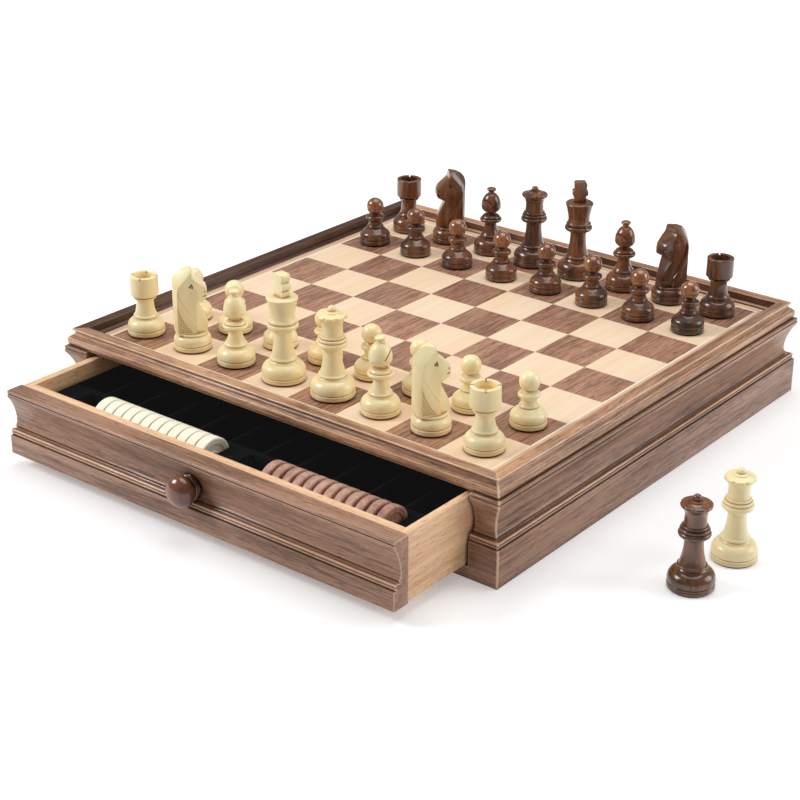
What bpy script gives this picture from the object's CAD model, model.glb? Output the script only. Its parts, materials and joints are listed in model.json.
import json
import math
import bmesh
import bpy
from mathutils import Matrix, Vector

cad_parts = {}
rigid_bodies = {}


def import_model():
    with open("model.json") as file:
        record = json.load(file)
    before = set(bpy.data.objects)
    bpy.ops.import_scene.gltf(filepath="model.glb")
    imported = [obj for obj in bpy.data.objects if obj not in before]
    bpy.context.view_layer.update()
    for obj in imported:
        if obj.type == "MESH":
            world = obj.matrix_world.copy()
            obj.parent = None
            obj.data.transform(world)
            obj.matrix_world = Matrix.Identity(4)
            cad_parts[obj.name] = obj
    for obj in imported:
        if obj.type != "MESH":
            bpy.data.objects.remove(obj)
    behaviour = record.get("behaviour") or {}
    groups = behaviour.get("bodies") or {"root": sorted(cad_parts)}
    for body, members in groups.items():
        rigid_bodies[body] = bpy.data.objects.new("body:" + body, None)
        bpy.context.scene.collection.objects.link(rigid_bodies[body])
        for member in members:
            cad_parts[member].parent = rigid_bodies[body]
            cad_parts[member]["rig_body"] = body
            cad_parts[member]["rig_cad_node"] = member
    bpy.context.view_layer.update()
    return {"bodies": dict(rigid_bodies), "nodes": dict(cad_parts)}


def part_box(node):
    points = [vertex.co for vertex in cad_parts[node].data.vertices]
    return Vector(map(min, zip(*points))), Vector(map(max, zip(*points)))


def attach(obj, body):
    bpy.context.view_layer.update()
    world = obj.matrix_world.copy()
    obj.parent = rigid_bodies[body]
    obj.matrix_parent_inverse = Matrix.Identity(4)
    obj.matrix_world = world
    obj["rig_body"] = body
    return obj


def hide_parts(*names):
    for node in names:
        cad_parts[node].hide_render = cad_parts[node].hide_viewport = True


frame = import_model()
mm = 0.001  # sizes below are written in millimetres


# everyday helpers

def clearAll():
    if bpy.context.object and bpy.context.object.mode != "OBJECT":
        bpy.ops.object.mode_set(mode="OBJECT")
    bpy.ops.object.select_all(action="DESELECT")


def choose(piece):
    clearAll()
    piece.select_set(True)
    bpy.context.view_layer.objects.active = piece


def named(name):
    piece = bpy.context.object
    piece.name = name
    piece.data.name = name
    return piece


def startEditing(piece):
    choose(piece)
    bpy.ops.object.mode_set(mode="EDIT")
    bpy.ops.mesh.select_mode(type="VERT")
    bpy.ops.mesh.select_all(action="DESELECT")


def stopEditing():
    bpy.ops.object.mode_set(mode="OBJECT")


def pickVerts(piece, wanted):
    mesh = bmesh.from_edit_mesh(piece.data)
    for vert in mesh.verts:
        vert.select_set(wanted(vert.co))
    mesh.select_flush(True)
    bmesh.update_edit_mesh(piece.data)


def pickEdges(piece, wanted):
    bpy.ops.mesh.select_mode(type="EDGE")
    mesh = bmesh.from_edit_mesh(piece.data)
    for edge in mesh.edges:
        edge.select_set(wanted(edge.verts[0].co, edge.verts[1].co))
    bmesh.update_edit_mesh(piece.data)


def pickFaces(piece, wanted):
    bpy.ops.mesh.select_mode(type="FACE")
    mesh = bmesh.from_edit_mesh(piece.data)
    mesh.normal_update()
    for face in mesh.faces:
        face.select_set(wanted(face.calc_center_median(), face.normal))
    bmesh.update_edit_mesh(piece.data)


def tidyMesh():
    bpy.ops.mesh.select_mode(type="VERT")
    bpy.ops.mesh.select_all(action="SELECT")
    bpy.ops.mesh.remove_doubles(threshold=0.000002)
    bpy.ops.mesh.normals_make_consistent(inside=False)


def lineOf(name, points):
    # a closed loop of points in the XZ plane, from a plain circle
    clearAll()
    bpy.ops.mesh.primitive_circle_add(vertices=len(points), radius=0.01, fill_type="NOTHING")
    loop = named(name)
    for vert, point in zip(loop.data.vertices, points):
        vert.co = (point[0] * mm, 0, point[1] * mm)
    return loop


def spun(name, points, steps=48):
    # points run from the axis at the bottom to the axis at the top
    piece = lineOf(name, points)
    startEditing(piece)
    pickEdges(piece, lambda a, b: max(a.x, b.x) < 0.0000001)
    bpy.ops.mesh.delete(type="EDGE")
    bpy.ops.mesh.select_all(action="SELECT")
    bpy.ops.mesh.spin(steps=steps, angle=math.tau, center=(0, 0, 0), axis=(0, 0, 1))
    tidyMesh()
    stopEditing()
    return piece


def drawnOut(name, points, start, length):
    # the outline lies in XZ at y = start and is pulled along +Y
    piece = lineOf(name, points)
    startEditing(piece)
    bpy.ops.mesh.select_all(action="SELECT")
    bpy.ops.mesh.edge_face_add()
    bpy.ops.transform.translate(value=(0, start * mm, 0))
    bpy.ops.mesh.extrude_region_move(TRANSFORM_OT_translate={"value": (0, length * mm, 0)})
    tidyMesh()
    stopEditing()
    return piece


def sliced(piece, place, normal):
    # cuts off what lies beyond the plane on the side that normal points to
    startEditing(piece)
    bpy.ops.mesh.select_all(action="SELECT")
    bpy.ops.mesh.bisect(
        plane_co=[v * mm for v in place], plane_no=normal, use_fill=True, clear_outer=True
    )
    tidyMesh()
    stopEditing()


def block(name, low, high):
    clearAll()
    middle = [(a + b) / 2 for a, b in zip(low, high)]
    bpy.ops.mesh.primitive_cube_add(size=1, location=middle, scale=[b - a for a, b in zip(low, high)])
    piece = named(name)
    bpy.ops.object.transform_apply(location=True, rotation=True, scale=True)
    return piece


def cutAway(piece, cutter, mode="DIFFERENCE"):
    choose(piece)
    step = piece.modifiers.new("cut", "BOOLEAN")
    step.operation = mode
    step.solver = "EXACT"
    step.object = cutter
    bpy.ops.object.modifier_apply(modifier=step.name)
    bpy.data.objects.remove(cutter)


def softEdges(piece, width, segments=2, angle=40):
    choose(piece)
    step = piece.modifiers.new("soft", "BEVEL")
    step.width = width * mm
    step.segments = segments
    step.limit_method = "ANGLE"
    step.angle_limit = math.radians(angle)
    step.use_clamp_overlap = True
    bpy.ops.object.modifier_apply(modifier=step.name)


def smoothed(piece, angle=32):
    choose(piece)
    bpy.ops.object.shade_smooth_by_angle(angle=math.radians(angle))


def setDown(piece, place=(0, 0, 0), turn=0.0):
    # place in metres, turn in degrees about Z
    choose(piece)
    piece.location = place
    piece.rotation_euler = (0, 0, math.radians(turn))
    bpy.ops.object.transform_apply(location=True, rotation=True, scale=True)


def copyOf(piece, name):
    choose(piece)
    bpy.ops.object.duplicate(linked=False)
    return named(name)


def joined(parts, name):
    clearAll()
    for part in parts:
        part.select_set(True)
    bpy.context.view_layer.objects.active = parts[0]
    bpy.ops.object.join()
    return named(name)


def dress(piece, material):
    piece.data.materials.clear()
    piece.data.materials.append(material)


def fitOn(piece, body, material, slot, *nodes):
    dress(piece, material)
    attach(piece, body)
    if nodes:
        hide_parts(*nodes)


def middleOf(node):
    low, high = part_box(node)
    return Vector(((low.x + high.x) / 2, (low.y + high.y) / 2, low.z))


# shader helpers

def shade(red, green, blue):
    # a colour as picked on screen, 0 to 255
    channels = [c / 255 for c in (red, green, blue)]
    return tuple(c / 12.92 if c <= 0.04045 else ((c + 0.055) / 1.055) ** 2.4 for c in channels) + (1,)


def addNode(tree, kind, **values):
    made = tree.nodes.new(kind)
    for label, value in values.items():
        setattr(made, label, value)
    return made


def setInputs(made, **values):
    for label, value in values.items():
        made.inputs[label.replace("_", " ")].default_value = value
    return made


def startGroup(name, inputs, outputs):
    tree = bpy.data.node_groups.new(name, "ShaderNodeTree")
    for label, kind, value in inputs:
        socket = tree.interface.new_socket(name=label, in_out="INPUT", socket_type="NodeSocket" + kind)
        if value is not None:
            socket.default_value = value
    for label, kind in outputs:
        tree.interface.new_socket(name=label, in_out="OUTPUT", socket_type="NodeSocket" + kind)
    return tree, addNode(tree, "NodeGroupInput"), addNode(tree, "NodeGroupOutput")


def mathOf(tree, what, first, second=None):
    step = addNode(tree, "ShaderNodeMath", operation=what)
    for socket, value in zip(step.inputs, (first, second)):
        if value is None:
            continue
        if isinstance(value, (int, float)):
            socket.default_value = value
        else:
            tree.links.new(value, socket)
    return step.outputs[0]


def stretchOf(tree, source, scale, offset=(0, 0, 0)):
    step = addNode(tree, "ShaderNodeMapping")
    step.inputs["Scale"].default_value = scale
    step.inputs["Location"].default_value = offset
    tree.links.new(source, step.inputs["Vector"])
    return step.outputs["Vector"]


def noiseOf(tree, source, scale=1.0, detail=2.0, roughness=0.5, distortion=0.0):
    step = addNode(tree, "ShaderNodeTexNoise")
    setInputs(step, Scale=scale, Detail=detail, Roughness=roughness, Distortion=distortion)
    tree.links.new(source, step.inputs["Vector"])
    return step.outputs["Fac"]


def rangeOf(tree, source, low, high, toLow=0.0, toHigh=1.0):
    step = addNode(tree, "ShaderNodeMapRange", interpolation_type="SMOOTHSTEP")
    for label, value in (("From Min", low), ("From Max", high), ("To Min", toLow), ("To Max", toHigh)):
        step.inputs[label].default_value = value
    tree.links.new(source, step.inputs["Value"])
    return step.outputs["Result"]


def mixOf(tree, amount, first, second, how="MIX"):
    step = addNode(tree, "ShaderNodeMix", data_type="RGBA", blend_type=how)
    for socket, value in ((step.inputs[0], amount), (step.inputs[6], first), (step.inputs[7], second)):
        if isinstance(value, (int, float, tuple)):
            socket.default_value = value
        else:
            tree.links.new(value, socket)
    return step.outputs[2]


# wood: X runs along the grain, in metres
def makeWoodGroup():
    tree, given, result = startGroup(
        "woodFigure",
        [("Vector", "Vector", None), ("Early", "Color", (0.5, 0.4, 0.3, 1)),
         ("Late", "Color", (0.2, 0.1, 0.06, 1)), ("Pore", "Color", (0.05, 0.03, 0.02, 1)),
         ("Band", "Float", 300.0), ("Drift", "Float", 0.4), ("Fibre", "Float", 0.8), ("Pores", "Float", 0.5)],
        [("Color", "Color"), ("Height", "Float"), ("Streak", "Float")],
    )
    grain = given.outputs["Vector"]
    wander = noiseOf(tree, stretchOf(tree, grain, (6, 18, 18)), 1.0, 2.0)
    wanderPush = mathOf(tree, "MULTIPLY", mathOf(tree, "SUBTRACT", wander, 0.5), 0.010)
    parts = addNode(tree, "ShaderNodeSeparateXYZ")
    tree.links.new(grain, parts.inputs[0])
    bent = addNode(tree, "ShaderNodeCombineXYZ")
    tree.links.new(parts.outputs["X"], bent.inputs["X"])
    tree.links.new(mathOf(tree, "ADD", parts.outputs["Y"], wanderPush), bent.inputs["Y"])
    tree.links.new(mathOf(tree, "ADD", parts.outputs["Z"], wanderPush), bent.inputs["Z"])
    bandPlace = addNode(tree, "ShaderNodeVectorMath", operation="MULTIPLY")
    bandScale = addNode(tree, "ShaderNodeCombineXYZ")
    tree.links.new(mathOf(tree, "MULTIPLY", given.outputs["Band"], 0.02), bandScale.inputs["X"])
    tree.links.new(given.outputs["Band"], bandScale.inputs["Y"])
    tree.links.new(given.outputs["Band"], bandScale.inputs["Z"])
    tree.links.new(bent.outputs[0], bandPlace.inputs[0])
    tree.links.new(bandScale.outputs[0], bandPlace.inputs[1])
    bands = rangeOf(tree, noiseOf(tree, bandPlace.outputs[0], 1.0, 3.0, 0.6), 0.30, 0.70)
    cloud = rangeOf(tree, noiseOf(tree, stretchOf(tree, grain, (9, 26, 26)), 1.0, 3.0), 0.25, 0.75)
    fibres = noiseOf(tree, stretchOf(tree, bent.outputs[0], (60, 1150, 1150)), 1.0, 3.0, 0.7)
    dashes = noiseOf(tree, stretchOf(tree, bent.outputs[0], (120, 1500, 1500)), 1.0, 1.0)
    dashes = rangeOf(tree, dashes, 0.60, 0.70)
    figure = mathOf(tree, "MULTIPLY", bands, 0.40)
    figure = mathOf(tree, "ADD", figure, mathOf(tree, "MULTIPLY", cloud, given.outputs["Drift"]))
    figure = mathOf(
        tree, "ADD", figure,
        mathOf(tree, "MULTIPLY", mathOf(tree, "SUBTRACT", fibres, 0.5), given.outputs["Fibre"]),
    )
    figure = rangeOf(tree, figure, -0.1, 0.95)
    colour = mixOf(tree, figure, given.outputs["Early"], given.outputs["Late"])
    poreMask = mathOf(tree, "MULTIPLY", dashes, given.outputs["Pores"])
    tree.links.new(mixOf(tree, poreMask, colour, given.outputs["Pore"]), result.inputs["Color"])
    lift = mathOf(tree, "SUBTRACT", mathOf(tree, "MULTIPLY", fibres, 0.4), poreMask)
    tree.links.new(lift, result.inputs["Height"])
    tree.links.new(figure, result.inputs["Streak"])
    return tree


# Mask is 1 in grooves and corners and under a neighbour, Arris is 1 on sharp outer edges
def makeCreviceGroup():
    tree, given, result = startGroup(
        "crevice", [("Distance", "Float", 0.004), ("Edge", "Float", 0.0010)],
        [("Mask", "Float"), ("Arris", "Float")],
    )
    closed = addNode(tree, "ShaderNodeAmbientOcclusion", samples=8)
    tree.links.new(given.outputs["Distance"], closed.inputs["Distance"])
    mask = rangeOf(tree, closed.outputs["AO"], 0.25, 0.90, 1.0, 0.0)
    tree.links.new(mask, result.inputs["Mask"])
    sharp = addNode(tree, "ShaderNodeAmbientOcclusion", samples=6, inside=True)
    tree.links.new(given.outputs["Edge"], sharp.inputs["Distance"])
    tree.links.new(rangeOf(tree, sharp.outputs["AO"], 0.48, 0.94, 1.0, 0.0), result.inputs["Arris"])
    return tree


# picks the length of a mitred frame's side: X of the result runs along it
def makeFrameGroup():
    tree, given, result = startGroup("alongTheSide", [("Vector", "Vector", None)], [("Vector", "Vector")])
    parts = addNode(tree, "ShaderNodeSeparateXYZ")
    tree.links.new(given.outputs["Vector"], parts.inputs[0])
    across = mathOf(tree, "ABSOLUTE", parts.outputs["X"])
    along = mathOf(tree, "ABSOLUTE", parts.outputs["Y"])
    sideways = mathOf(tree, "GREATER_THAN", across, along)
    turned = addNode(tree, "ShaderNodeCombineXYZ")
    tree.links.new(parts.outputs["Y"], turned.inputs["X"])
    tree.links.new(parts.outputs["X"], turned.inputs["Y"])
    tree.links.new(parts.outputs["Z"], turned.inputs["Z"])
    choice = addNode(tree, "ShaderNodeMix", data_type="VECTOR")
    tree.links.new(sideways, choice.inputs[0])
    tree.links.new(given.outputs["Vector"], choice.inputs[4])
    tree.links.new(turned.outputs[0], choice.inputs[5])
    tree.links.new(choice.outputs[1], result.inputs["Vector"])
    return tree


# every playing square gets its own cut of veneer and its own tone
def makeSquareGroup():
    tree, given, result = startGroup(
        "oneSquare", [("Vector", "Vector", None), ("Side", "Float", 0.0415)],
        [("Vector", "Vector"), ("Tone", "Float")],
    )
    parts = addNode(tree, "ShaderNodeSeparateXYZ")
    tree.links.new(given.outputs["Vector"], parts.inputs[0])
    cell = addNode(tree, "ShaderNodeCombineXYZ")
    for axis in ("X", "Y"):
        count = mathOf(tree, "DIVIDE", parts.outputs[axis], given.outputs["Side"])
        tree.links.new(mathOf(tree, "FLOOR", count), cell.inputs[axis])
    chance = addNode(tree, "ShaderNodeTexWhiteNoise", noise_dimensions="3D")
    tree.links.new(cell.outputs[0], chance.inputs["Vector"])
    spread = addNode(tree, "ShaderNodeVectorMath", operation="SCALE")
    spread.inputs["Scale"].default_value = 3.0
    tree.links.new(chance.outputs["Color"], spread.inputs[0])
    shifted = addNode(tree, "ShaderNodeVectorMath", operation="ADD")
    turned = addNode(tree, "ShaderNodeCombineXYZ")
    tree.links.new(parts.outputs["Y"], turned.inputs["X"])
    tree.links.new(parts.outputs["X"], turned.inputs["Y"])
    tree.links.new(turned.outputs[0], shifted.inputs[0])
    tree.links.new(spread.outputs[0], shifted.inputs[1])
    tree.links.new(shifted.outputs[0], result.inputs["Vector"])
    tree.links.new(chance.outputs["Value"], result.inputs["Tone"])
    return tree


woodGroup = makeWoodGroup()
creviceGroup = makeCreviceGroup()
frameGroup = makeFrameGroup()
squareGroup = makeSquareGroup()


def placeGroup(tree, group):
    made = addNode(tree, "ShaderNodeGroup")
    made.node_tree = group
    return made


woods = {
    "caseWalnut": dict(
        early=shade(184, 140, 113), late=shade(88, 55, 40), pore=shade(60, 36, 27), band=300.0, drift=0.34,
        fibre=1.3, pores=0.55, roughness=0.40, coat=0.10, bump=0.10, lay="side",
        dirt=shade(44, 26, 18), dirtAmount=0.90, reach=2.2, worn=0.9, edge=shade(240, 202, 170),
    ),
    "beadWalnut": dict(
        early=shade(248, 208, 172), late=shade(184, 134, 102), pore=shade(120, 80, 60), band=300.0, drift=0.34,
        fibre=1.3, pores=0.4, roughness=0.30, coat=0.30, bump=0.06, lay="side",
        dirt=shade(44, 26, 18), dirtAmount=0.80, reach=1.6, worn=0.6, edge=shade(255, 222, 188),
    ),
    "rimWalnut": dict(
        early=shade(224, 174, 136), late=shade(108, 67, 46), pore=shade(72, 43, 31), band=300.0, drift=0.34,
        fibre=1.3, pores=0.55, roughness=0.34, coat=0.20, bump=0.10, lay="side",
        dirt=shade(44, 26, 18), dirtAmount=0.90, reach=2.2, worn=0.9, edge=shade(252, 214, 178),
    ),
    "innerWalnut": dict(
        early=shade(134, 92, 66), late=shade(78, 47, 32), pore=shade(52, 30, 21), band=300.0, drift=0.40,
        fibre=1.3, pores=0.55, roughness=0.35, coat=0.10, bump=0.10, lay="side",
        dirt=shade(26, 15, 10), dirtAmount=0.8, reach=4.0, worn=0.3, edge=shade(160, 120, 92),
    ),
    "deepWalnut": dict(
        early=shade(104, 68, 48), late=shade(56, 34, 23), pore=shade(36, 22, 15), band=300.0, drift=0.40,
        fibre=1.3, pores=0.55, roughness=0.35, coat=0.10, bump=0.10, lay="side",
        dirt=shade(22, 13, 9), dirtAmount=0.8, reach=4.0, worn=0.2, edge=shade(150, 110, 84),
    ),
    "lightVeneer": dict(
        early=shade(252, 230, 200), late=shade(244, 209, 172), pore=shade(228, 194, 156), band=150.0, drift=0.4,
        fibre=0.5, pores=0.10, roughness=0.40, coat=0.08, bump=0.03, lay="square",
        dirt=shade(120, 84, 58), dirtAmount=0.6, reach=2.5, worn=0.0,
    ),
    "darkVeneer": dict(
        early=shade(202, 153, 125), late=shade(88, 52, 37), pore=shade(66, 38, 28), band=520.0, drift=0.26,
        fibre=1.7, pores=0.70, roughness=0.36, coat=0.10, bump=0.05, lay="square",
        dirt=shade(50, 30, 22), dirtAmount=0.7, reach=2.5, worn=0.0,
    ),
    "paleLine": dict(
        early=shade(255, 246, 226), late=shade(250, 234, 204), pore=shade(220, 190, 150), band=300.0, drift=0.3,
        fibre=0.4, pores=0.05, roughness=0.42, coat=0.1, bump=0.02, lay="side",
        dirt=shade(150, 110, 80), dirtAmount=0.3, reach=1.0, worn=0.0,
    ),
    "drawerWoodX": dict(
        early=shade(250, 210, 170), late=shade(218, 164, 118), pore=shade(166, 112, 74), band=260.0, drift=0.3,
        fibre=1.2, pores=0.55, roughness=0.5, coat=0.05, bump=0.08, lay="x",
        dirt=shade(96, 58, 34), dirtAmount=0.8, reach=4.0, worn=0.8,
    ),
    "drawerWoodY": dict(
        early=shade(250, 210, 170), late=shade(218, 164, 118), pore=shade(166, 112, 74), band=260.0, drift=0.3,
        fibre=1.2, pores=0.55, roughness=0.5, coat=0.05, bump=0.08, lay="y",
        dirt=shade(96, 58, 34), dirtAmount=0.8, reach=4.0, worn=0.8,
    ),
    "boxwood": dict(
        early=shade(255, 244, 198), late=shade(255, 229, 168), pore=shade(234, 198, 132), band=120.0, drift=0.4,
        fibre=0.2, pores=0.06, roughness=0.34, coat=0.25, bump=0.02, lay="z",
        dirt=shade(178, 108, 46), dirtAmount=0.90, reach=5.5, worn=0.0,
    ),
    "stainedWood": dict(
        early=shade(150, 92, 52), late=shade(46, 26, 16), pore=shade(24, 13, 8), band=170.0, drift=0.6,
        fibre=0.7, pores=0.4, roughness=0.24, coat=0.6, bump=0.04, lay="z",
        dirt=shade(20, 10, 7), dirtAmount=0.9, reach=3.0, worn=0.5,
    ),
    "amberWood": dict(
        early=shade(190, 124, 66), late=shade(108, 60, 31), pore=shade(64, 34, 18), band=190.0, drift=0.7,
        fibre=0.7, pores=0.4, roughness=0.20, coat=1.0, bump=0.04, lay="z",
        dirt=shade(30, 15, 9), dirtAmount=0.9, reach=3.0, worn=0.5,
    ),
    "knobWood": dict(
        early=shade(138, 82, 50), late=shade(76, 42, 24), pore=shade(36, 18, 10), band=190.0, drift=0.4,
        fibre=0.6, pores=0.3, roughness=0.26, coat=0.6, bump=0.03, lay="y",
        dirt=shade(20, 9, 6), dirtAmount=0.95, reach=5.0, worn=0.4,
    ),
    "lightDraughtWood": dict(
        early=shade(255, 252, 234), late=shade(250, 242, 214), pore=shade(228, 208, 166), band=160.0, drift=0.4,
        fibre=0.3, pores=0.1, roughness=0.45, coat=0.1, bump=0.03, lay="z",
        dirt=shade(110, 90, 66), dirtAmount=0.8, reach=2.2, worn=0.0,
    ),
    "darkDraughtWood": dict(
        early=shade(212, 170, 148), late=shade(146, 100, 80), pore=shade(96, 54, 40), band=240.0, drift=0.4,
        fibre=0.9, pores=0.4, roughness=0.5, coat=0.08, bump=0.05, lay="z",
        dirt=shade(40, 18, 12), dirtAmount=1.0, reach=2.6, worn=0.6,
    ),
}
turnsForLay = {"x": (0, 0, 0), "y": (0, 0, math.pi / 2), "z": (0, math.pi / 2, 0)}


def woodMaterial(name):
    look = woods[name]
    material = bpy.data.materials.new(name)
    material.use_nodes = True
    tree = material.node_tree
    shader = tree.nodes["Principled BSDF"]
    place = addNode(tree, "ShaderNodeTexCoord").outputs["Object"]
    tone = None
    if look["lay"] == "side":
        pick = placeGroup(tree, frameGroup)
        tree.links.new(place, pick.inputs[0])
        place = pick.outputs[0]
    elif look["lay"] == "square":
        pick = placeGroup(tree, squareGroup)
        tree.links.new(place, pick.inputs[0])
        place = pick.outputs["Vector"]
        tone = pick.outputs["Tone"]
    else:
        turn = addNode(tree, "ShaderNodeMapping")
        turn.inputs["Rotation"].default_value = turnsForLay[look["lay"]]
        tree.links.new(place, turn.inputs["Vector"])
        place = turn.outputs[0]
    wood = placeGroup(tree, woodGroup)
    tree.links.new(place, wood.inputs["Vector"])
    setInputs(
        wood, Early=look["early"], Late=look["late"], Pore=look["pore"], Band=look["band"],
        Drift=look["drift"], Fibre=look["fibre"], Pores=look["pores"],
    )
    colour = wood.outputs["Color"]
    if tone:
        amount = rangeOf(tree, tone, 0.0, 1.0, 0.0, 0.22)
        colour = mixOf(tree, amount, colour, look["late"])
    hollows = setInputs(placeGroup(tree, creviceGroup), Distance=look["reach"] * mm)
    depth = mathOf(tree, "MULTIPLY", hollows.outputs["Mask"], look["dirtAmount"])
    worn = mathOf(tree, "MULTIPLY", hollows.outputs["Arris"], look["worn"])
    colour = mixOf(tree, worn, colour, look.get("edge", look["early"]))
    tree.links.new(mixOf(tree, depth, colour, look["dirt"]), shader.inputs["Base Color"])
    rough = rangeOf(tree, wood.outputs["Streak"], 0.0, 1.0, look["roughness"] - 0.05, look["roughness"] + 0.07)
    tree.links.new(rough, shader.inputs["Roughness"])
    setInputs(shader, Coat_Weight=look["coat"], Coat_Roughness=0.08)
    bump = addNode(tree, "ShaderNodeBump")
    setInputs(bump, Strength=look["bump"], Distance=0.0004)
    tree.links.new(wood.outputs["Height"], bump.inputs["Height"])
    tree.links.new(bump.outputs["Normal"], shader.inputs["Normal"])
    return material


finish = {name: woodMaterial(name) for name in woods}
print("wood finishes ready")


def velourMaterial():
    material = bpy.data.materials.new("blackVelour")
    material.use_nodes = True
    tree = material.node_tree
    shader = tree.nodes["Principled BSDF"]
    place = addNode(tree, "ShaderNodeTexCoord").outputs["Object"]
    nap = noiseOf(tree, place, 2600.0, 2.0, 0.6)
    brushed = noiseOf(tree, place, 22.0, 3.0, 0.5)
    lint = rangeOf(tree, noiseOf(tree, place, 420.0, 0.0), 0.80, 0.84)
    base = mixOf(tree, brushed, shade(12, 12, 13), shade(18, 18, 19))
    base = mixOf(tree, mathOf(tree, "MULTIPLY", lint, 0.25), base, shade(120, 120, 124))
    tree.links.new(base, shader.inputs["Base Color"])
    setInputs(shader, Roughness=1.0, Specular_IOR_Level=0.02)
    setInputs(shader, Emission_Color=shade(22, 22, 23), Emission_Strength=0.65)
    bump = setInputs(addNode(tree, "ShaderNodeBump"), Strength=0.3, Distance=0.0003)
    tree.links.new(nap, bump.inputs["Height"])
    tree.links.new(bump.outputs["Normal"], shader.inputs["Normal"])
    return material


def feltMaterial():
    material = bpy.data.materials.new("blackFelt")
    material.use_nodes = True
    tree = material.node_tree
    shader = tree.nodes["Principled BSDF"]
    place = addNode(tree, "ShaderNodeTexCoord").outputs["Object"]
    fuzz = noiseOf(tree, place, 1800.0, 3.0, 0.7)
    tree.links.new(mixOf(tree, fuzz, shade(14, 14, 15), shade(40, 38, 38)), shader.inputs["Base Color"])
    setInputs(shader, Roughness=0.95, Specular_IOR_Level=0.1)
    bump = setInputs(addNode(tree, "ShaderNodeBump"), Strength=0.4, Distance=0.0003)
    tree.links.new(fuzz, bump.inputs["Height"])
    tree.links.new(bump.outputs["Normal"], shader.inputs["Normal"])
    return material


def steelMaterial():
    material = bpy.data.materials.new("brightSteel")
    material.use_nodes = True
    tree = material.node_tree
    shader = tree.nodes["Principled BSDF"]
    place = addNode(tree, "ShaderNodeTexCoord").outputs["Object"]
    brushing = noiseOf(tree, stretchOf(tree, place, (5200, 120, 5200)), 1.0, 2.0)
    tree.links.new(mixOf(tree, brushing, shade(150, 150, 152), shade(196, 196, 198)), shader.inputs["Base Color"])
    tree.links.new(rangeOf(tree, brushing, 0.2, 0.8, 0.22, 0.4), shader.inputs["Roughness"])
    setInputs(shader, Metallic=1.0)
    return material


finish["blackVelour"] = velourMaterial()
finish["blackFelt"] = feltMaterial()
finish["brightSteel"] = steelMaterial()


# outlines, as radius or depth and height

def sweep(centre, reach, start, end, count):
    spread = [math.radians(start + (end - start) * i / count) for i in range(count + 1)]
    return [(centre[0] + reach[0] * math.cos(a), centre[1] + reach[1] * math.sin(a)) for a in spread]


def hollow(lower, upper, count=10):
    # a waisted line that is steep where it is thin
    return [
        (upper[0] + (lower[0] - upper[0]) * (1 - i / count) ** 2.2,
         lower[1] + (upper[1] - lower[1]) * i / count)
        for i in range(count + 1)
    ]


caseSizes = dict(
    half=190.3, height=59.2, wallT=19.3, plinthH=26.2, notchH=1.0, notchIn=1.7, beadR=1.6, beadIn=1.0,
    coveIn=6.5, coveLowR=5.3, coveShare=3 / 14, noseIn=0.3, noseH=4.6, noseR=1.2, plinthR=0.9,
    rimW=16.9, rimH=12.5, playZ=65.0, openingHalf=168.0, railH=8.4, edge=0.25,
)


def wallOutline(s):
    beadZ = s["plinthH"] + s["notchH"] + s["beadR"]
    coveFoot = beadZ + s["beadR"]
    coveTop = s["height"] - s["noseH"]
    coveZ = coveFoot + s["coveShare"] * (coveTop - coveFoot)
    rise = coveTop - coveZ
    lowTurn = 222
    depth = s["coveIn"] - s["noseIn"]
    coveR = (rise ** 2 + depth ** 2) / (2 * depth)
    turn = math.degrees(math.asin(rise / coveR))
    points = [(-s["wallT"], 0), (0, 0)]
    points += sweep((-s["plinthR"], s["plinthH"] - s["plinthR"]), (s["plinthR"],) * 2, 0, 80, 5)
    points += [(-s["notchIn"], s["plinthH"] - 0.1), (-s["notchIn"], s["plinthH"] + 0.7)]
    points += sweep((-1.75, s["plinthH"] + 1.4), (0.65, 0.65), -70, 70, 6) + [(-2.1, s["plinthH"] + 2.15)]
    points += sweep((-s["beadIn"] - 1.3, s["plinthH"] + 3.3), (1.3, 1.05), -60, 90, 8)
    edge = s["coveLowR"] - s["coveIn"] + s["coveLowR"] * math.cos(math.radians(lowTurn))
    points += [(-3.8, coveFoot - 0.1), (edge, coveFoot - 0.6), (edge - 0.5, coveFoot - 0.2)]
    points += [(edge - 0.1, coveFoot + 0.35)]
    points += sweep((s["coveLowR"] - s["coveIn"], coveZ), (s["coveLowR"],) * 2, lowTurn, 184, 7)
    points += sweep((coveR - s["coveIn"], coveZ), (coveR,) * 2, 180, 180 - turn, 14)
    points += [(-s["noseIn"], coveTop + 1.9), (-1.1, coveTop + 2.1), (-1.1, coveTop + 2.6)]
    points += [(-s["noseIn"], coveTop + 2.9)]
    points += sweep((-s["noseIn"] - s["noseR"], s["height"] - s["noseR"]), (s["noseR"],) * 2, 0, 90, 6)
    return points + [(-s["wallT"], s["height"])]


def rimOutline(s):
    footZ = s["playZ"] - s["height"] + 0.1
    wall = s["rimW"] - 3.6
    top = s["rimH"]
    points = [(-s["rimW"], 0), (-3.2, 0), (-3.2, 0.9), (-2.7, 1.4)] + sweep((-3.0, 2.3), (0.8, 0.8), -60, 0, 4)
    points += sweep((-2.8, 5.6), (0.6, 0.6), 0, 90, 4) + [(-3.2, 6.1), (-3.4, 6.5)]
    points += sweep((-2.2, top - 2.2), (4.2, 3.2), 250, 182, 8) + [(-6.6, top - 1.9), (-6.0, top - 1.5)]
    points += sweep((-5.4, top - 0.8), (0.8, 0.8), -60, 90, 7)
    points += sweep((-wall + 0.6, top - 0.6), (0.6, 0.6), 90, 180, 4)
    points += [(-wall, footZ + 1.3)]
    return points + sweep((-s["rimW"] + 1.3, footZ), (1.3, 1.3), 90, 180, 5)


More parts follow.
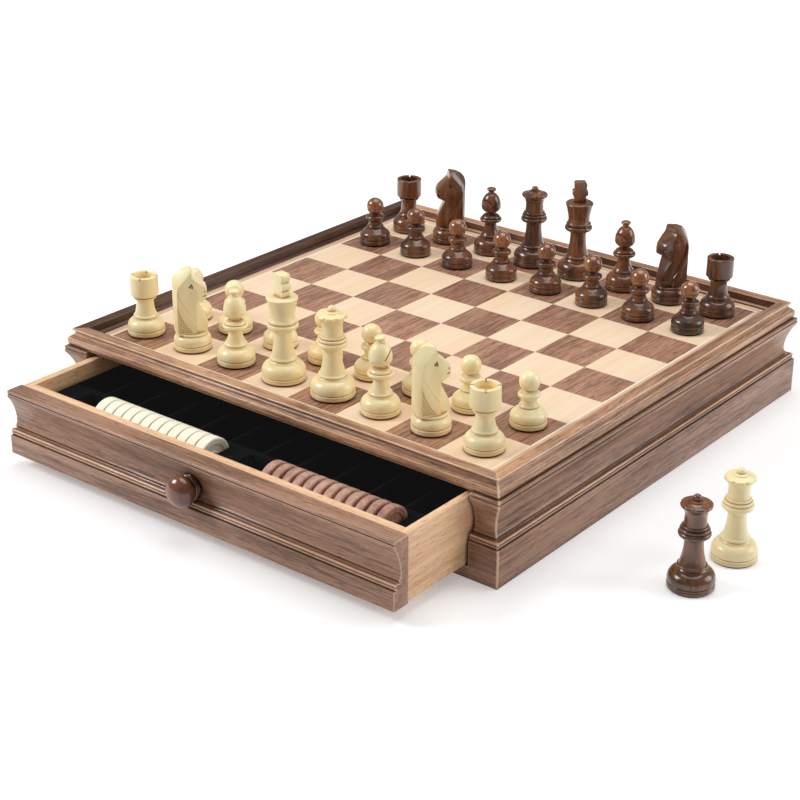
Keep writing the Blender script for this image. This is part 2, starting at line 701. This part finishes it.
def mitredSide(name, outline, lift, turn):
    # a length of moulding on the right side, mitred by two cuts, then turned to its own side
    half = caseSizes["half"]
    piece = drawnOut(name, [(x + half, z + lift) for x, z in outline], -half - 1, 2 * half + 2)
    sliced(piece, (0, 0, 0), (-0.70711, 0.70711, 0))
    sliced(piece, (0, 0, 0), (-0.70711, -0.70711, 0))
    setDown(piece, turn=turn)
    return piece


def polishBeads(piece, low, high):
    # the tops of the beads are rubbed paler than the flats
    piece.data.materials.append(finish["beadWalnut"])
    startEditing(piece)
    pickFaces(piece, lambda at, normal: low * mm < at.z < high * mm and 0.25 < normal.z < 0.98)
    piece.active_material_index = len(piece.data.materials) - 1
    bpy.ops.object.material_slot_assign()
    stopEditing()


def makeCase():
    s = caseSizes
    for side, turn in (("right", 0), ("back", 90), ("left", 180), ("front", 270)):
        wall = mitredSide("case" + side.capitalize(), wallOutline(s), 0, turn)
        if side == "front":
            notch = block("notch", (-s["openingHalf"] * mm, -0.2, s["railH"] * mm),
                          (s["openingHalf"] * mm, -0.165, 0.08))
            cutAway(wall, notch)
        softEdges(wall, s["edge"])
        smoothed(wall)
        fitOn(wall, "box", finish["caseWalnut"], "case_walnut", "case_" + side)
        polishBeads(wall, s["plinthH"] + 1.0, s["plinthH"] + 4.6)
        rim = mitredSide("rim" + side.capitalize(), rimOutline(s), s["height"], turn)
        softEdges(rim, s["edge"] * 0.6)
        smoothed(rim)
        fitOn(rim, "box", finish["rimWalnut"], "case_walnut", "rim_" + side)
        polishBeads(rim, s["height"] + 2.3, s["height"] + 3.3)
        polishBeads(rim, s["height"] + s["rimH"] - 1.4, s["height"] + s["rimH"] - 0.05)
        rim.data.materials.append(finish["deepWalnut" if side == "left" else "innerWalnut"])
        inside = s["half"] - s["rimW"] + (8.0 if side == "left" else 3.7)
        flat = 1.1 if side == "left" else 0.8
        startEditing(rim)
        pickFaces(rim, lambda at, normal: max(abs(at.x), abs(at.y)) < inside * mm and abs(normal.z) < flat)
        rim.active_material_index = len(rim.data.materials) - 1
        bpy.ops.object.material_slot_assign()
        stopEditing()


def makeBoard():
    for node, look, slot in (
        ("board_border", "caseWalnut", "case_walnut"), ("board_stringing", "paleLine", "light_veneer"),
        ("light_squares", "lightVeneer", "light_veneer"), ("dark_squares", "darkVeneer", "dark_veneer"),
        ("board_panel", "drawerWoodX", None), ("case_bottom", "drawerWoodX", None),
        ("drawer_runners", "drawerWoodY", None),
    ):
        dress(frame["nodes"][node], finish[look])


drawerSizes = dict(
    frontY=-261.3, frontHalf=167.4, low=9.0, drop=3.9, knobY=-254.8, knobZ=35.886, seatR=7.65,
    screwR=1.8, boardEdge=0.35, liningEdge=0.5,
)


def alongY(name, points, place, steps=48):
    # turned about Z, then laid so that its height points to the front
    piece = spun(name, points, steps)
    choose(piece)
    piece.rotation_euler = (math.pi / 2, 0, 0)
    piece.location = [v * mm for v in place]
    bpy.ops.object.transform_apply(location=True, rotation=True, scale=True)
    return piece


def rod(name, radius, length, place):
    return alongY(name, [(0, 0), (radius, 0), (radius, length), (0, length)], place, 32)


def makeDrawer():
    d = drawerSizes
    half = d["frontHalf"]
    outline = [(x - d["frontY"], z - d["drop"]) for x, z in wallOutline({**caseSizes, "wallT": 13.3})]
    front = drawnOut("drawerFront", outline, -half, 2 * half)
    setDown(front, turn=270)
    sliced(front, (0, 0, d["low"]), (0, 0, -1))
    cutAway(front, rod("knobSeat", d["seatR"], 13, (0, d["knobY"], d["knobZ"])))
    cutAway(front, rod("screwWay", d["screwR"], 30, (0, -240, d["knobZ"])))
    softEdges(front, 0.25)
    smoothed(front)
    fitOn(front, "drawer", finish["caseWalnut"], "case_walnut", "drawer_front")
    ledge = caseSizes["plinthH"] - d["drop"]
    polishBeads(front, ledge + 1.0, ledge + 4.6)
    for node, look in (
        ("drawer_box_front", "drawerWoodX"), ("drawer_left_side", "drawerWoodY"),
        ("drawer_right_side", "drawerWoodY"), ("drawer_back", "drawerWoodX"), ("drawer_bottom", "drawerWoodX"),
    ):
        low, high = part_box(node)
        board = block(node.replace("drawer_", "drawerBoard_"), low, high)
        softEdges(board, d["boardEdge"])
        smoothed(board, 50)
        if node == "drawer_box_front":
            cutAway(board, rod("screwWay", d["screwR"], 12, (0, -238, d["knobZ"])))
        fitOn(board, "drawer", finish[look], "drawer_wood", node)


def makeLining():
    choose(frame["nodes"]["drawer_lining"])
    bpy.ops.object.duplicate(linked=False)
    lining = named("drawerLining")
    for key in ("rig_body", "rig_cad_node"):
        if key in lining:
            del lining[key]
    lining.parent = None
    startEditing(lining)
    tidyMesh()
    bpy.ops.mesh.select_all(action="SELECT")
    bpy.ops.mesh.dissolve_limited(angle_limit=math.radians(1))
    stopEditing()
    softEdges(lining, drawerSizes["liningEdge"], 2, 60)
    smoothed(lining, 40)
    fitOn(lining, "drawer", finish["blackVelour"], "lining_velour", "drawer_lining")


knobSizes = dict(radius=10.8, length=19.6, flangeR=7.6)


def makeKnob():
    k = knobSizes
    cap = k["length"] - 7.6
    points = [(0, 0), (k["flangeR"], 0), (k["flangeR"], 1.8)]
    points += sweep((k["flangeR"] - 0.4, 3.0), (1.3, 0.9), -60, 90, 7)
    points += [(6.9, 4.1)] + sweep((8.2, 5.6), (1.2, 1.2), -90, 90, 9)
    points += [(7.5, 7.0)]
    points += sweep((0, 7.6 + cap * 0.36), (k["radius"], cap * 0.64), -34, 90, 26)
    points[-1] = (0, k["length"])
    knob = alongY("drawerKnob", points, (0, drawerSizes["knobY"], drawerSizes["knobZ"]), 64)
    smoothed(knob, 45)
    fitOn(knob, "drawer", finish["knobWood"], "knob_wood", "drawer_knob")
    head = alongY(
        "knobScrew", [(0, 0), (3.1, 0), (3.55, 0.2), (1.75, 2.4), (1.75, 22), (1.2, 23.6), (0, 23.8)],
        (0, -242.0, drawerSizes["knobZ"]), 32,
    )
    for turn in (0, 90):
        slot = block("slot", (-0.0022, -0.2429, -0.0004), (0.0022, -0.2410, 0.0004))
        choose(slot)
        bpy.ops.object.mode_set(mode="EDIT")
        bpy.ops.mesh.select_all(action="SELECT")
        bpy.ops.transform.rotate(
            value=math.radians(turn), orient_axis="Y", center_override=(0, -0.2415, 0)
        )
        bpy.ops.transform.translate(value=(0, 0, drawerSizes["knobZ"] * mm))
        stopEditing()
        cutAway(head, slot)
    smoothed(head, 40)
    fitOn(head, "drawer", finish["brightSteel"], "screw_steel", "knob_screw")


draughtSizes = dict(
    radius=14.5, thickness=8.0, darkThickness=6.0, edge=1.1, pitch=8.4, y=-225.5, z=39.5, lightEnd=-9.5,
    darkEnd=139.5,
)


def draughtOutline(d, thickness):
    r = d["radius"]
    t = thickness / 2
    upper = [(0, t - 1.0), (3.2, t - 1.0), (3.8, t - 0.5), (4.6, t - 0.5), (5.2, t - 1.0), (r * 0.66, t - 1.0)]
    upper += [(r * 0.70, t - 0.2), (r * 0.74, t), (r * 0.80, t), (r * 0.82, t - 0.35), (r * 0.84, t)]
    upper += sweep((r - d["edge"], t - d["edge"]), (d["edge"], d["edge"]), 90, 0, 6)
    lower = [(x, -z) for x, z in reversed(upper)]
    return list(reversed(upper + lower))


def makeDraughts():
    d = draughtSizes
    for colour, end, thickness, node, look in (
        ("light", d["lightEnd"], d["thickness"], "light_draughts", "lightDraughtWood"),
        ("dark", d["darkEnd"], d["darkThickness"], "dark_draughts", "darkDraughtWood"),
    ):
        first = spun("draughtMaster", draughtOutline(d, thickness), 56)
        choose(first)
        first.rotation_euler = (0, math.pi / 2, 0)
        bpy.ops.object.transform_apply(location=True, rotation=True, scale=True)
        smoothed(first, 30)
        for i in range(12):
            disc = copyOf(first, f"{colour}Draught{i + 1}")
            setDown(disc, ((end - d["pitch"] * (i + 0.5)) * mm, d["y"] * mm, d["z"] * mm))
            fitOn(disc, node, finish[look], look.replace("DraughtWood", "_draught_wood"), node)
        bpy.data.objects.remove(first)


menSizes = dict(
    minorR=13.1, royalR=15.0, pawnR=12.1, felt=0.8, pawnH=37.0, rookH=44.0, bishopH=54.0, knightH=59.0,
    queenH=64.0, kingH=76.0, ballFrom=27.0,
)


def footLine(r):
    points = [(0, 0.8), (r - 0.5, 0.8)] + sweep((r - 0.4, 1.3), (0.4, 0.4), -80, 0, 3)
    points += [(r, 2.7), (r - 0.3, 2.95), (r, 3.2)] + sweep((r - 0.6, 4.0), (0.6, 0.6), 0, 80, 4)
    return points + [(r - 1.3, 4.65), (r - 1.4, 4.9)]


def shoulderLine(r, z, rise, inner, top):
    start = -math.degrees(math.asin((z - 4.95) / rise))
    return sweep((inner, z), (r - inner, rise), start, top, 18)


def ringLine(r, z, height):
    return sweep((r - height / 2, z), (height / 2, height / 1.8), -75, 75, 8)


def pawnLine(r):
    points = footLine(r) + shoulderLine(r, 6.4, 4.6, 8.4, 55) + [(8.8, 11.5), (7.2, 13.2)] + ringLine(6.6, 14.4, 1.4)
    points += hollow((5.8, 15.4), (5.1, 18.6)) + [(6.2, 20.0)] + ringLine(7.4, 21.8, 3.2)
    return points + [(5.8, 23.7), (4.6, 24.3)] + sweep((0, 30.9), (6.9, 6.9), -56, 90, 24)


def rookLine(r):
    points = footLine(r) + shoulderLine(r, 6.2, 6.2, 6.8, 74) + [(8.5, 12.8)] + ringLine(8.5, 14.0, 1.5)
    points += hollow((7.7, 15.0), (6.1, 25.0)) + [(6.6, 26.6)] + sweep((7.0, 27.6), (1.1, 0.9), -70, 70, 6)
    points += [(8.0, 28.7), (9.3, 29.5)] + sweep((9.5, 30.3), (0.5, 0.6), -60, 0, 3)
    points += [(9.9, 43.2)] + sweep((9.3, 43.4), (0.6, 0.6), 0, 90, 4)
    return points + [(7.4, 44.0), (7.0, 43.6), (6.8, 39.2), (5.6, 38.2), (0, 38.0)]


def bishopLine(r):
    points = footLine(r) + shoulderLine(r, 6.2, 6.4, 6.6, 74) + [(8.2, 13.1)] + ringLine(8.0, 14.5, 1.6)
    points += hollow((7.1, 15.7), (4.6, 24.6)) + [(5.6, 25.8)] + ringLine(8.7, 27.7, 2.6)
    points += [(7.0, 29.1)] + sweep((0, 29.3), (7.4, 3.5), 8, 62, 7)
    points += sweep((0, 38.6), (7.8, 5.8), -62, 0, 9) + sweep((0, 38.6), (7.8, 11.4), 6, 71, 16)
    return points + [(2.3, 49.8)] + sweep((0, 52.2), (3.7, 1.8), -52, 90, 12)


def queenLine(r):
    points = footLine(r) + shoulderLine(r, 6.6, 6.8, 8.2, 76) + [(9.6, 14.0)] + ringLine(9.6, 15.6, 1.8)
    points += hollow((8.6, 16.8), (6.0, 33.2), 14) + [(7.4, 35.0)] + ringLine(10.3, 37.4, 3.2) + [(9.2, 39.1)]
    points += ringLine(9.4, 40.4, 1.9) + [(8.2, 41.4)] + ringLine(8.3, 42.5, 1.5)
    points += hollow((7.2, 43.4), (6.9, 50.0), 6) + [(7.3, 52.2), (8.3, 54.2), (9.3, 55.4)]
    points += sweep((9.4, 56.6), (0.7, 1.1), -60, 80, 8) + [(8.2, 57.9), (6.0, 58.5), (5.3, 58.7), (4.9, 59.5)]
    return points + [(2.9, 59.9)] + sweep((0, 61.0), (2.8, 2.6), -24, 90, 12)


def kingLine(r):
    points = footLine(r) + shoulderLine(r, 6.6, 6.8, 8.2, 76) + [(9.4, 14.2)] + ringLine(9.2, 15.9, 1.8)
    points += hollow((8.3, 17.1), (6.1, 34.6), 14) + [(7.6, 36.8)] + ringLine(10.7, 39.3, 3.2) + [(9.0, 41.1)]
    points += ringLine(9.6, 42.6, 2.0) + [(8.6, 44.0), (8.2, 46.0), (8.4, 49.0), (9.2, 52.8), (10.1, 56.6)]
    return points + [(10.6, 58.0), (10.7, 58.6), (10.5, 59.0), (9.8, 59.5), (9.4, 59.6), (0, 59.8)]


def makePawn():
    return spun("pawnMaster", pawnLine(menSizes["pawnR"]))


def makeRook():
    rook = spun("rookMaster", rookLine(menSizes["minorR"]))
    for turn in (0, 90):
        notch = drawnOut("notch", [(-1.0, 45.0), (-0.3, 42.3), (0.3, 42.3), (1.0, 45.0)], -20, 40)
        setDown(notch, turn=turn)
        cutAway(rook, notch)
    return rook


def makeBishop():
    bishop = spun("bishopMaster", bishopLine(menSizes["minorR"]))
    cut = block("mitreCut", (0, -0.012, -0.0003), (0.012, 0.012, 0.0003))
    choose(cut)
    cut.rotation_euler = (0, math.radians(-60), 0)
    cut.location = (0.0034, 0, 0.0388)
    bpy.ops.object.transform_apply(location=True, rotation=True, scale=True)
    cutAway(bishop, cut)
    return bishop


def makeQueen():
    queen = spun("queenMaster", queenLine(menSizes["royalR"]), 64)
    for i in range(8):
        scallop = spun("scallop", [(0, -1.6), (3.2, -1.6), (3.2, 6), (0, 6)], 32)
        angle = math.radians(45 * i)
        setDown(scallop, (0.0126 * math.cos(angle), 0.0126 * math.sin(angle), 0.0558))
        cutAway(queen, scallop)
    return queen


def makeKing():
    king = spun("kingMaster", kingLine(menSizes["royalR"]))
    top = menSizes["kingH"]
    side = [(4.5, top - 16.6), (4.9, top - 13.0), (4.7, top - 12.2), (3.7, top - 11.4), (5.0, top - 10.9)]
    side += sweep((5.2, top - 8.7), (0.9, 2.0), -60, 60, 6) + [(3.7, top - 6.1), (4.4, top - 5.5)]
    side += sweep((3.2, top - 2.7), (1.8, 2.7), -30, 85, 7)
    outline = side + [(-x, z) for x, z in reversed(side)]
    cross = drawnOut("kingCross", outline, -3.4, 6.8)
    softEdges(cross, 0.7, 3, 50)
    return joined([king, cross], "kingMaster")


knightSizes = dict(
    halfThick=8.6, faceThick=6.8, edge=0.4, grooveR=0.55, grooves=5, grooveTop=38.0, grooveStep=1.5, bend=45.0,
    bendAt=(34.0, 43.6),
)
knightSide = [
    (9.4, 12.6), (10.6, 14.2), (11.2, 16.2), (10.9, 19.0), (9.9, 22.4), (7.6, 27.0), (5.0, 31.8), (3.7, 34.4),
    (4.0, 35.3), (5.8, 36.1), (8.4, 37.0), (10.4, 38.0), (11.1, 39.8), (11.1, 43.6), (10.5, 45.6), (9.2, 47.3),
    (6.4, 49.4), (3.5, 51.8), (1.5, 54.0), (1.0, 56.0), (0.7, 58.3), (0.0, 59.0), (-2.0, 59.0), (-4.7, 59.0),
    (-7.6, 57.9), (-10.0, 56.3), (-11.4, 54.2), (-12.3, 51.4), (-12.5, 44.0), (-12.5, 34.0), (-12.5, 24.0),
    (-12.5, 17.0), (-12.1, 14.8), (-11.0, 13.3), (-9.6, 12.6),
]
faceRegion = [
    (14, 11), (14, 61), (-1.0, 61), (-1.3, 57.2), (-8.2, 48.6), (-9.0, 42.2), (-7.9, 38.0), (-5.4, 33.5),
    (-2.1, 27.7), (3.3, 20.7), (6.5, 16.5), (8.6, 12.4), (8.8, 11),
]


def knightBase(r):
    points = footLine(r) + shoulderLine(r, 6.8, 6.0, 5.8, 60) + ringLine(10.8, 12.4, 1.5)
    return points + [(9.6, 13.2), (0, 13.2)]


# a thin curved cut down the side of the neck
def knightGroove(i, side):
    k = knightSizes
    shift = k["grooveStep"] * i
    clearAll()
    bpy.ops.mesh.primitive_torus_add(
        major_radius=k["bend"] * mm, minor_radius=k["grooveR"] * mm, major_segments=160, minor_segments=8,
        location=(
            (k["bendAt"][0] - 0.87 * shift) * mm, side * k["halfThick"] * mm,
            (k["bendAt"][1] - 0.5 * shift) * mm,
        ),
        rotation=(math.pi / 2, 0, 0),
    )
    groove = named("groove")
    bpy.ops.object.transform_apply(location=True, rotation=True, scale=True)
    near = side * k["halfThick"] * mm
    keep = block("keep", (-0.0096, near - 0.003, 0.0146), (0.0076, near + 0.003, k["grooveTop"] * mm))
    cutAway(groove, keep, "INTERSECT")
    return groove


def cornerWedge(corners, low, high):
    # a wedge with its outline in XY, standing from low to high
    wedge = drawnOut("wedge", corners, 0, high - low)
    choose(wedge)
    wedge.rotation_euler = (-math.pi / 2, 0, 0)
    wedge.location = (0, 0, high * mm)
    bpy.ops.object.transform_apply(location=True, rotation=True, scale=True)
    return wedge


def makeKnight():
    k = knightSizes
    head = drawnOut("knightHead", knightSide, -13, 26)
    drum = spun("headDrum", [(0, 11), (12.6, 11), (12.6, 60), (0, 60)], 72)
    cutAway(head, drum, "INTERSECT")
    for side in (1, -1):
        sliced(head, (0, side * k["halfThick"], 40), (0, side, 0))
        sliced(head, (-1.3, side * k["faceThick"], 55.2), (-0.53, side * 0.715, 0.457))
        cutAway(head, drawnOut("cheek", faceRegion, k["faceThick"] if side > 0 else -16, 16 - k["faceThick"]))
        muzzle = [(4.5, side * 6.9), (13, side * 3.9), (13, side * 9), (4.5, side * 9)]
        cutAway(head, cornerWedge(muzzle, 35.2, 62))
        throat = [(3.2, side * 6.9), (11.5, side * 2.6), (14, side * 2.6), (14, side * 9), (3.2, side * 9)]
        cutAway(head, cornerWedge(throat, 10, 35.2))
    softEdges(head, k["edge"], 2, 28)
    for side in (1, -1):
        for i in range(k["grooves"]):
            cutAway(head, knightGroove(i, side))
        for x, y, z, long, deep, tilt in (
            (1.2, 6.8, 48.0, 0.5, 2.0, 12), (-0.2, 6.8, 47.6, 0.7, 0.7, 0),
            (9.6, 5.1, 43.4, 0.6, 0.5, 40), (9.6, 5.1, 40.2, 1.8, 0.4, 6),
        ):
            clearAll()
            bpy.ops.mesh.primitive_uv_sphere_add(
                segments=20, ring_count=12, radius=0.001, location=(x * mm, side * y * mm, z * mm),
                rotation=(0, math.radians(-tilt), 0), scale=(long, 0.9, deep),
            )
            hole = named("hole")
            bpy.ops.object.transform_apply(location=True, rotation=True, scale=True)
            cutAway(head, hole)
    base = spun("knightBase", knightBase(menSizes["minorR"]))
    return joined([base, head], "knightMaster")


makers = dict(pawn=makePawn, rook=makeRook, bishop=makeBishop, queen=makeQueen, king=makeKing, knight=makeKnight)
facings = dict(
    light_rook_left=30, light_knight_left=45, light_bishop_left=150, light_king=350, light_queen=10,
    light_bishop_right=34, light_knight_right=58, light_rook_right=36, dark_rook_left=36, dark_knight_left=228,
    dark_bishop_left=262, dark_queen=0, dark_king=40, dark_bishop_right=262, dark_knight_right=250,
    dark_rook_right=36, spare_dark_queen=20, spare_light_queen=5,
)


footSizes = dict(pawn=menSizes["pawnR"], queen=menSizes["royalR"], king=menSizes["royalR"])


def makeMen():
    masters = {}
    for kind, maker in makers.items():
        masters[kind] = maker()
        smoothed(masters[kind], 34)
    for body in frame["bodies"]:
        kind = next((k for k in makers if k in body.split("_")), None)
        if kind is None:
            continue
        spot = middleOf(body)
        wood = "stainedWood" if "dark" in body.split("_") else "boxwood"
        slot = "stained_wood" if wood == "stainedWood" else "boxwood"
        man = copyOf(masters[kind], body + "Turned")
        setDown(man, spot, facings.get(body, 0))
        fitOn(man, body, finish[wood], slot, body)
        if kind == "pawn" and wood == "stainedWood":
            man.data.materials.append(finish["amberWood"])
            neckTop = spot.z + menSizes["ballFrom"] * mm
            startEditing(man)
            pickFaces(man, lambda at, normal: at.z > neckTop)
            man.active_material_index = len(man.data.materials) - 1
            bpy.ops.object.material_slot_assign()
            stopEditing()
        r = footSizes.get(kind, menSizes["minorR"])
        felt = spun(body + "Felt", [(0, 0), (r - 1.0, 0), (r - 0.75, 0.25), (r - 0.7, 0.8), (0, 0.8)], 40)
        smoothed(felt, 50)
        setDown(felt, spot)
        fitOn(felt, body, finish["blackFelt"], None)
    for master in masters.values():
        bpy.data.objects.remove(master)


makeCase()
print("case and rim done")
makeBoard()
makeDrawer()
makeLining()
makeKnob()
print("drawer done")
makeDraughts()
print("draughts done")
makeMen()
print("chessmen done")


studio = dict(sky=0.26, left=54.0, right=28.0, top=34.0, floorTone=0.85, floorGlow=0.29)


def makeFloor():
    clearAll()
    bpy.ops.mesh.primitive_plane_add(size=14, location=(0, 0, 0))
    floor = named("floor")
    bpy.ops.object.transform_apply(location=True, rotation=True, scale=True)
    material = bpy.data.materials.new("paleFloor")
    material.use_nodes = True
    tree = material.node_tree
    tree.nodes.clear()
    matte = addNode(tree, "ShaderNodeBsdfDiffuse")
    tone = studio["floorTone"]
    matte.inputs["Color"].default_value = (tone, tone, tone, 1)
    glow = addNode(tree, "ShaderNodeEmission")
    seen = addNode(tree, "ShaderNodeLightPath")
    direct = mathOf(tree, "MAXIMUM", seen.outputs["Is Camera Ray"], seen.outputs["Is Glossy Ray"])
    direct = mathOf(tree, "MAXIMUM", direct, seen.outputs["Is Transmission Ray"])
    tree.links.new(mathOf(tree, "MULTIPLY", direct, studio["floorGlow"]), glow.inputs["Strength"])
    both = addNode(tree, "ShaderNodeAddShader")
    out = addNode(tree, "ShaderNodeOutputMaterial")
    tree.links.new(matte.outputs[0], both.inputs[0])
    tree.links.new(glow.outputs[0], both.inputs[1])
    tree.links.new(both.outputs[0], out.inputs["Surface"])
    dress(floor, material)


def makeWorld():
    world = bpy.data.worlds.new("studio")
    bpy.context.scene.world = world
    world.use_nodes = True
    tree = world.node_tree
    tree.nodes.clear()
    seen = addNode(tree, "ShaderNodeLightPath")
    plain = addNode(tree, "ShaderNodeBackground")
    setInputs(plain, Color=(1, 1, 1, 1), Strength=studio["sky"])
    white = addNode(tree, "ShaderNodeBackground")
    setInputs(white, Color=(1, 1, 1, 1), Strength=1.0)
    pick = addNode(tree, "ShaderNodeMixShader")
    direct = mathOf(tree, "MAXIMUM", seen.outputs["Is Camera Ray"], seen.outputs["Is Transmission Ray"])
    tree.links.new(direct, pick.inputs[0])
    tree.links.new(plain.outputs[0], pick.inputs[1])
    tree.links.new(white.outputs[0], pick.inputs[2])
    out = addNode(tree, "ShaderNodeOutputWorld")
    tree.links.new(pick.outputs[0], out.inputs["Surface"])


def makeLamp(name, place, aim, size, power):
    clearAll()
    bpy.ops.object.light_add(type="AREA", location=place)
    lamp = bpy.context.object
    lamp.name = name
    lamp.data.shape = "DISK"
    lamp.data.size = size
    lamp.data.energy = power
    lamp.rotation_euler = (Vector(aim) - Vector(place)).to_track_quat("-Z", "Y").to_euler()


def makeCamera():
    view = dict(focal=1815.53, across=459.04, down=401.56, place=(0.7385, -0.9701, 0.5643))
    right = Vector((0.79779, 0.60269, 0.01705))
    below = Vector((0.26453, -0.32448, -0.90815))
    ahead = Vector((-0.54181, 0.72902, -0.4183))
    camera = bpy.data.objects.new("camera", bpy.data.cameras.new("camera"))
    bpy.context.scene.collection.objects.link(camera)
    camera.data.lens = view["focal"] / 800 * camera.data.sensor_width
    camera.data.shift_x = (400 - view["across"]) / 800
    camera.data.shift_y = (view["down"] - 400) / 800
    camera.data.clip_start = 0.05
    camera.data.clip_end = 60
    pose = Matrix((right, -below, -ahead)).transposed().to_4x4()
    pose.translation = view["place"]
    camera.matrix_world = pose
    bpy.context.scene.camera = camera


makeFloor()
makeWorld()
makeLamp("leftLamp", (-2.0, -1.5, 1.9), (0, 0, 0), 1.3, studio["left"])
makeLamp("rightLamp", (2.1, 1.5, 1.2), (0, 0, 0), 1.8, studio["right"])
makeLamp("topLamp", (0.0, 0.5, 2.6), (0, 0, 0), 2.2, studio["top"])
makeCamera()
bpy.context.scene.view_settings.view_transform = "Standard"
print("studio ready")
